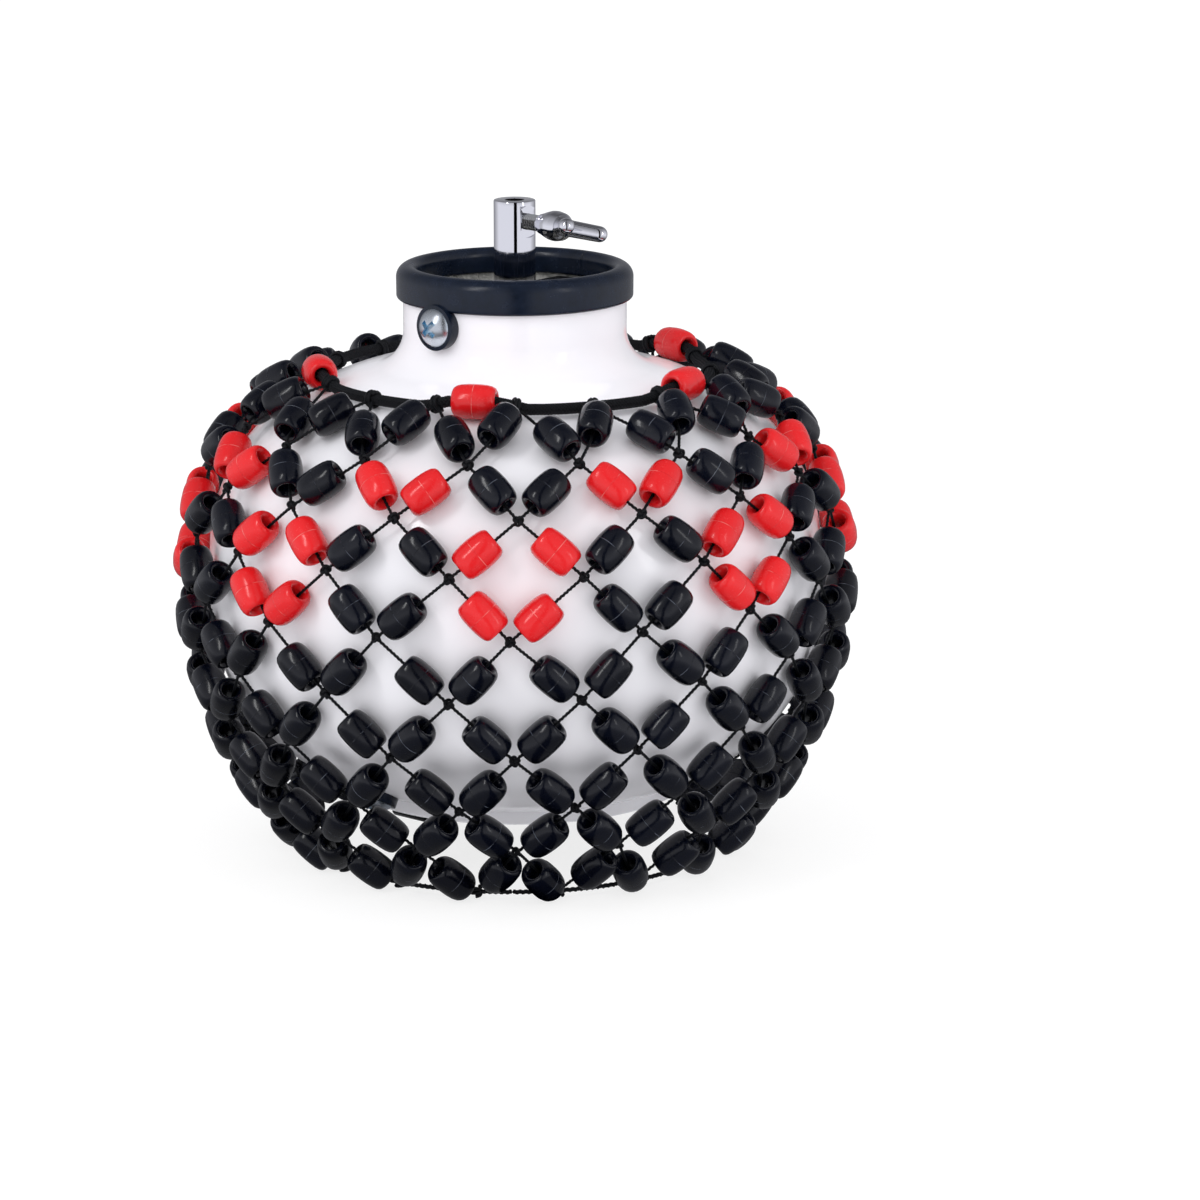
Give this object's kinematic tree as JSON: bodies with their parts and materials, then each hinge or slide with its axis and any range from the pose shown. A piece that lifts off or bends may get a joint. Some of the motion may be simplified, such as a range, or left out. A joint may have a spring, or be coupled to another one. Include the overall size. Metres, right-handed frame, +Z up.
{
  "type": "shekere with rod clamp",
  "caption": "Round moulded shekere shell, open at neck and foot, wrapped in a knotted net of barrel beads, with crossbars that clamp it on an upright rod.",
  "frame": {"origin": "on the shell's axis, inside the rod clamp's bore, at the middle height of the rubber rim trim", "axes": "+Z up along the shell's axis and the clamped rod; -Y is the front, as pictured; +X is the viewer's right"},
  "size_m": [0.2568, 0.2567, 0.2454],
  "materials": {
    "shell_gelcoat": "glossy white gelcoat on glass-fibre laminate, raw grey inside",
    "trim_rubber": "smooth black rubber, slightly blue, soft sheen",
    "bar_paint": "satin black paint on flat steel bar",
    "chrome": "polished chrome plate",
    "zinc_steel": "bright zinc-plated steel",
    "bush_nylon": "matt black nylon",
    "net_cord": "waxed black braided cord",
    "bead_red": "bright red moulded plastic, soft gloss",
    "bead_black": "black moulded plastic, soft gloss, a little blue"
  },
  "bodies": {
    "shell": {"shell": "shell_gelcoat", "rim_trim": "trim_rubber", "upper_crossbar": "bar_paint", "lower_crossbar": "bar_paint", "rod_collar": "chrome", "collar_nut": "zinc_steel", "guide_bush": "bush_nylon", "neck_screws": "chrome", "neck_washers": "trim_rubber", "neck_nuts": "zinc_steel", "foot_screws": "chrome", "foot_washers": "trim_rubber", "foot_nuts": "zinc_steel"},
    "stud": {"bolt_stud": "chrome"},
    "wings": {"bolt_wings": "chrome"},
    "foot_cord": {"foot_cord": "net_cord"},
    "net": {"neck_cord": "net_cord", "neck_beads": "bead_red", "net_hitches": "net_cord", "net_strands_row_1": "net_cord", "net_strands_upper": "net_cord", "net_strands_lower": "net_cord", "net_knots": "net_cord", "net_foot_loops": "net_cord", "beads_row_1": "bead_black", "beads_row_2_red": "bead_red", "beads_row_2_black": "bead_black", "beads_row_3_red": "bead_red", "beads_row_3_black": "bead_black", "beads_row_4_red": "bead_red", "beads_row_4_black": "bead_black", "beads_row_5": "bead_black", "beads_row_6": "bead_black", "beads_row_7": "bead_black", "beads_row_8": "bead_black", "beads_row_9": "bead_black"}
  },
  "joints": [
    {"name": "stud_feed", "type": "slide", "parent": "shell", "child": "stud", "axis": [0.7071, -0.7071, 0], "range_m": [-0.0007, 0.00356]},
    {"name": "wing_turn", "type": "hinge", "parent": "stud", "child": "wings", "pos_m": [0, 0, 0.0225], "axis": [0.7071, -0.7071, 0], "range_deg": [-216, 1080]},
    {"name": "net_lift", "type": "slide", "parent": "shell", "child": "foot_cord", "axis": [0, 0, 1], "range_m": [0, 0.002]},
    {"name": "net_twist", "type": "hinge", "parent": "foot_cord", "child": "net", "pos_m": [0, 0, -0.213], "axis": [0, 0, 1], "continuous": true}
  ],
  "couplings": [
    {"joint": "stud_feed", "follows": "wing_turn", "m_per_rad": 0.00015915}
  ]
}
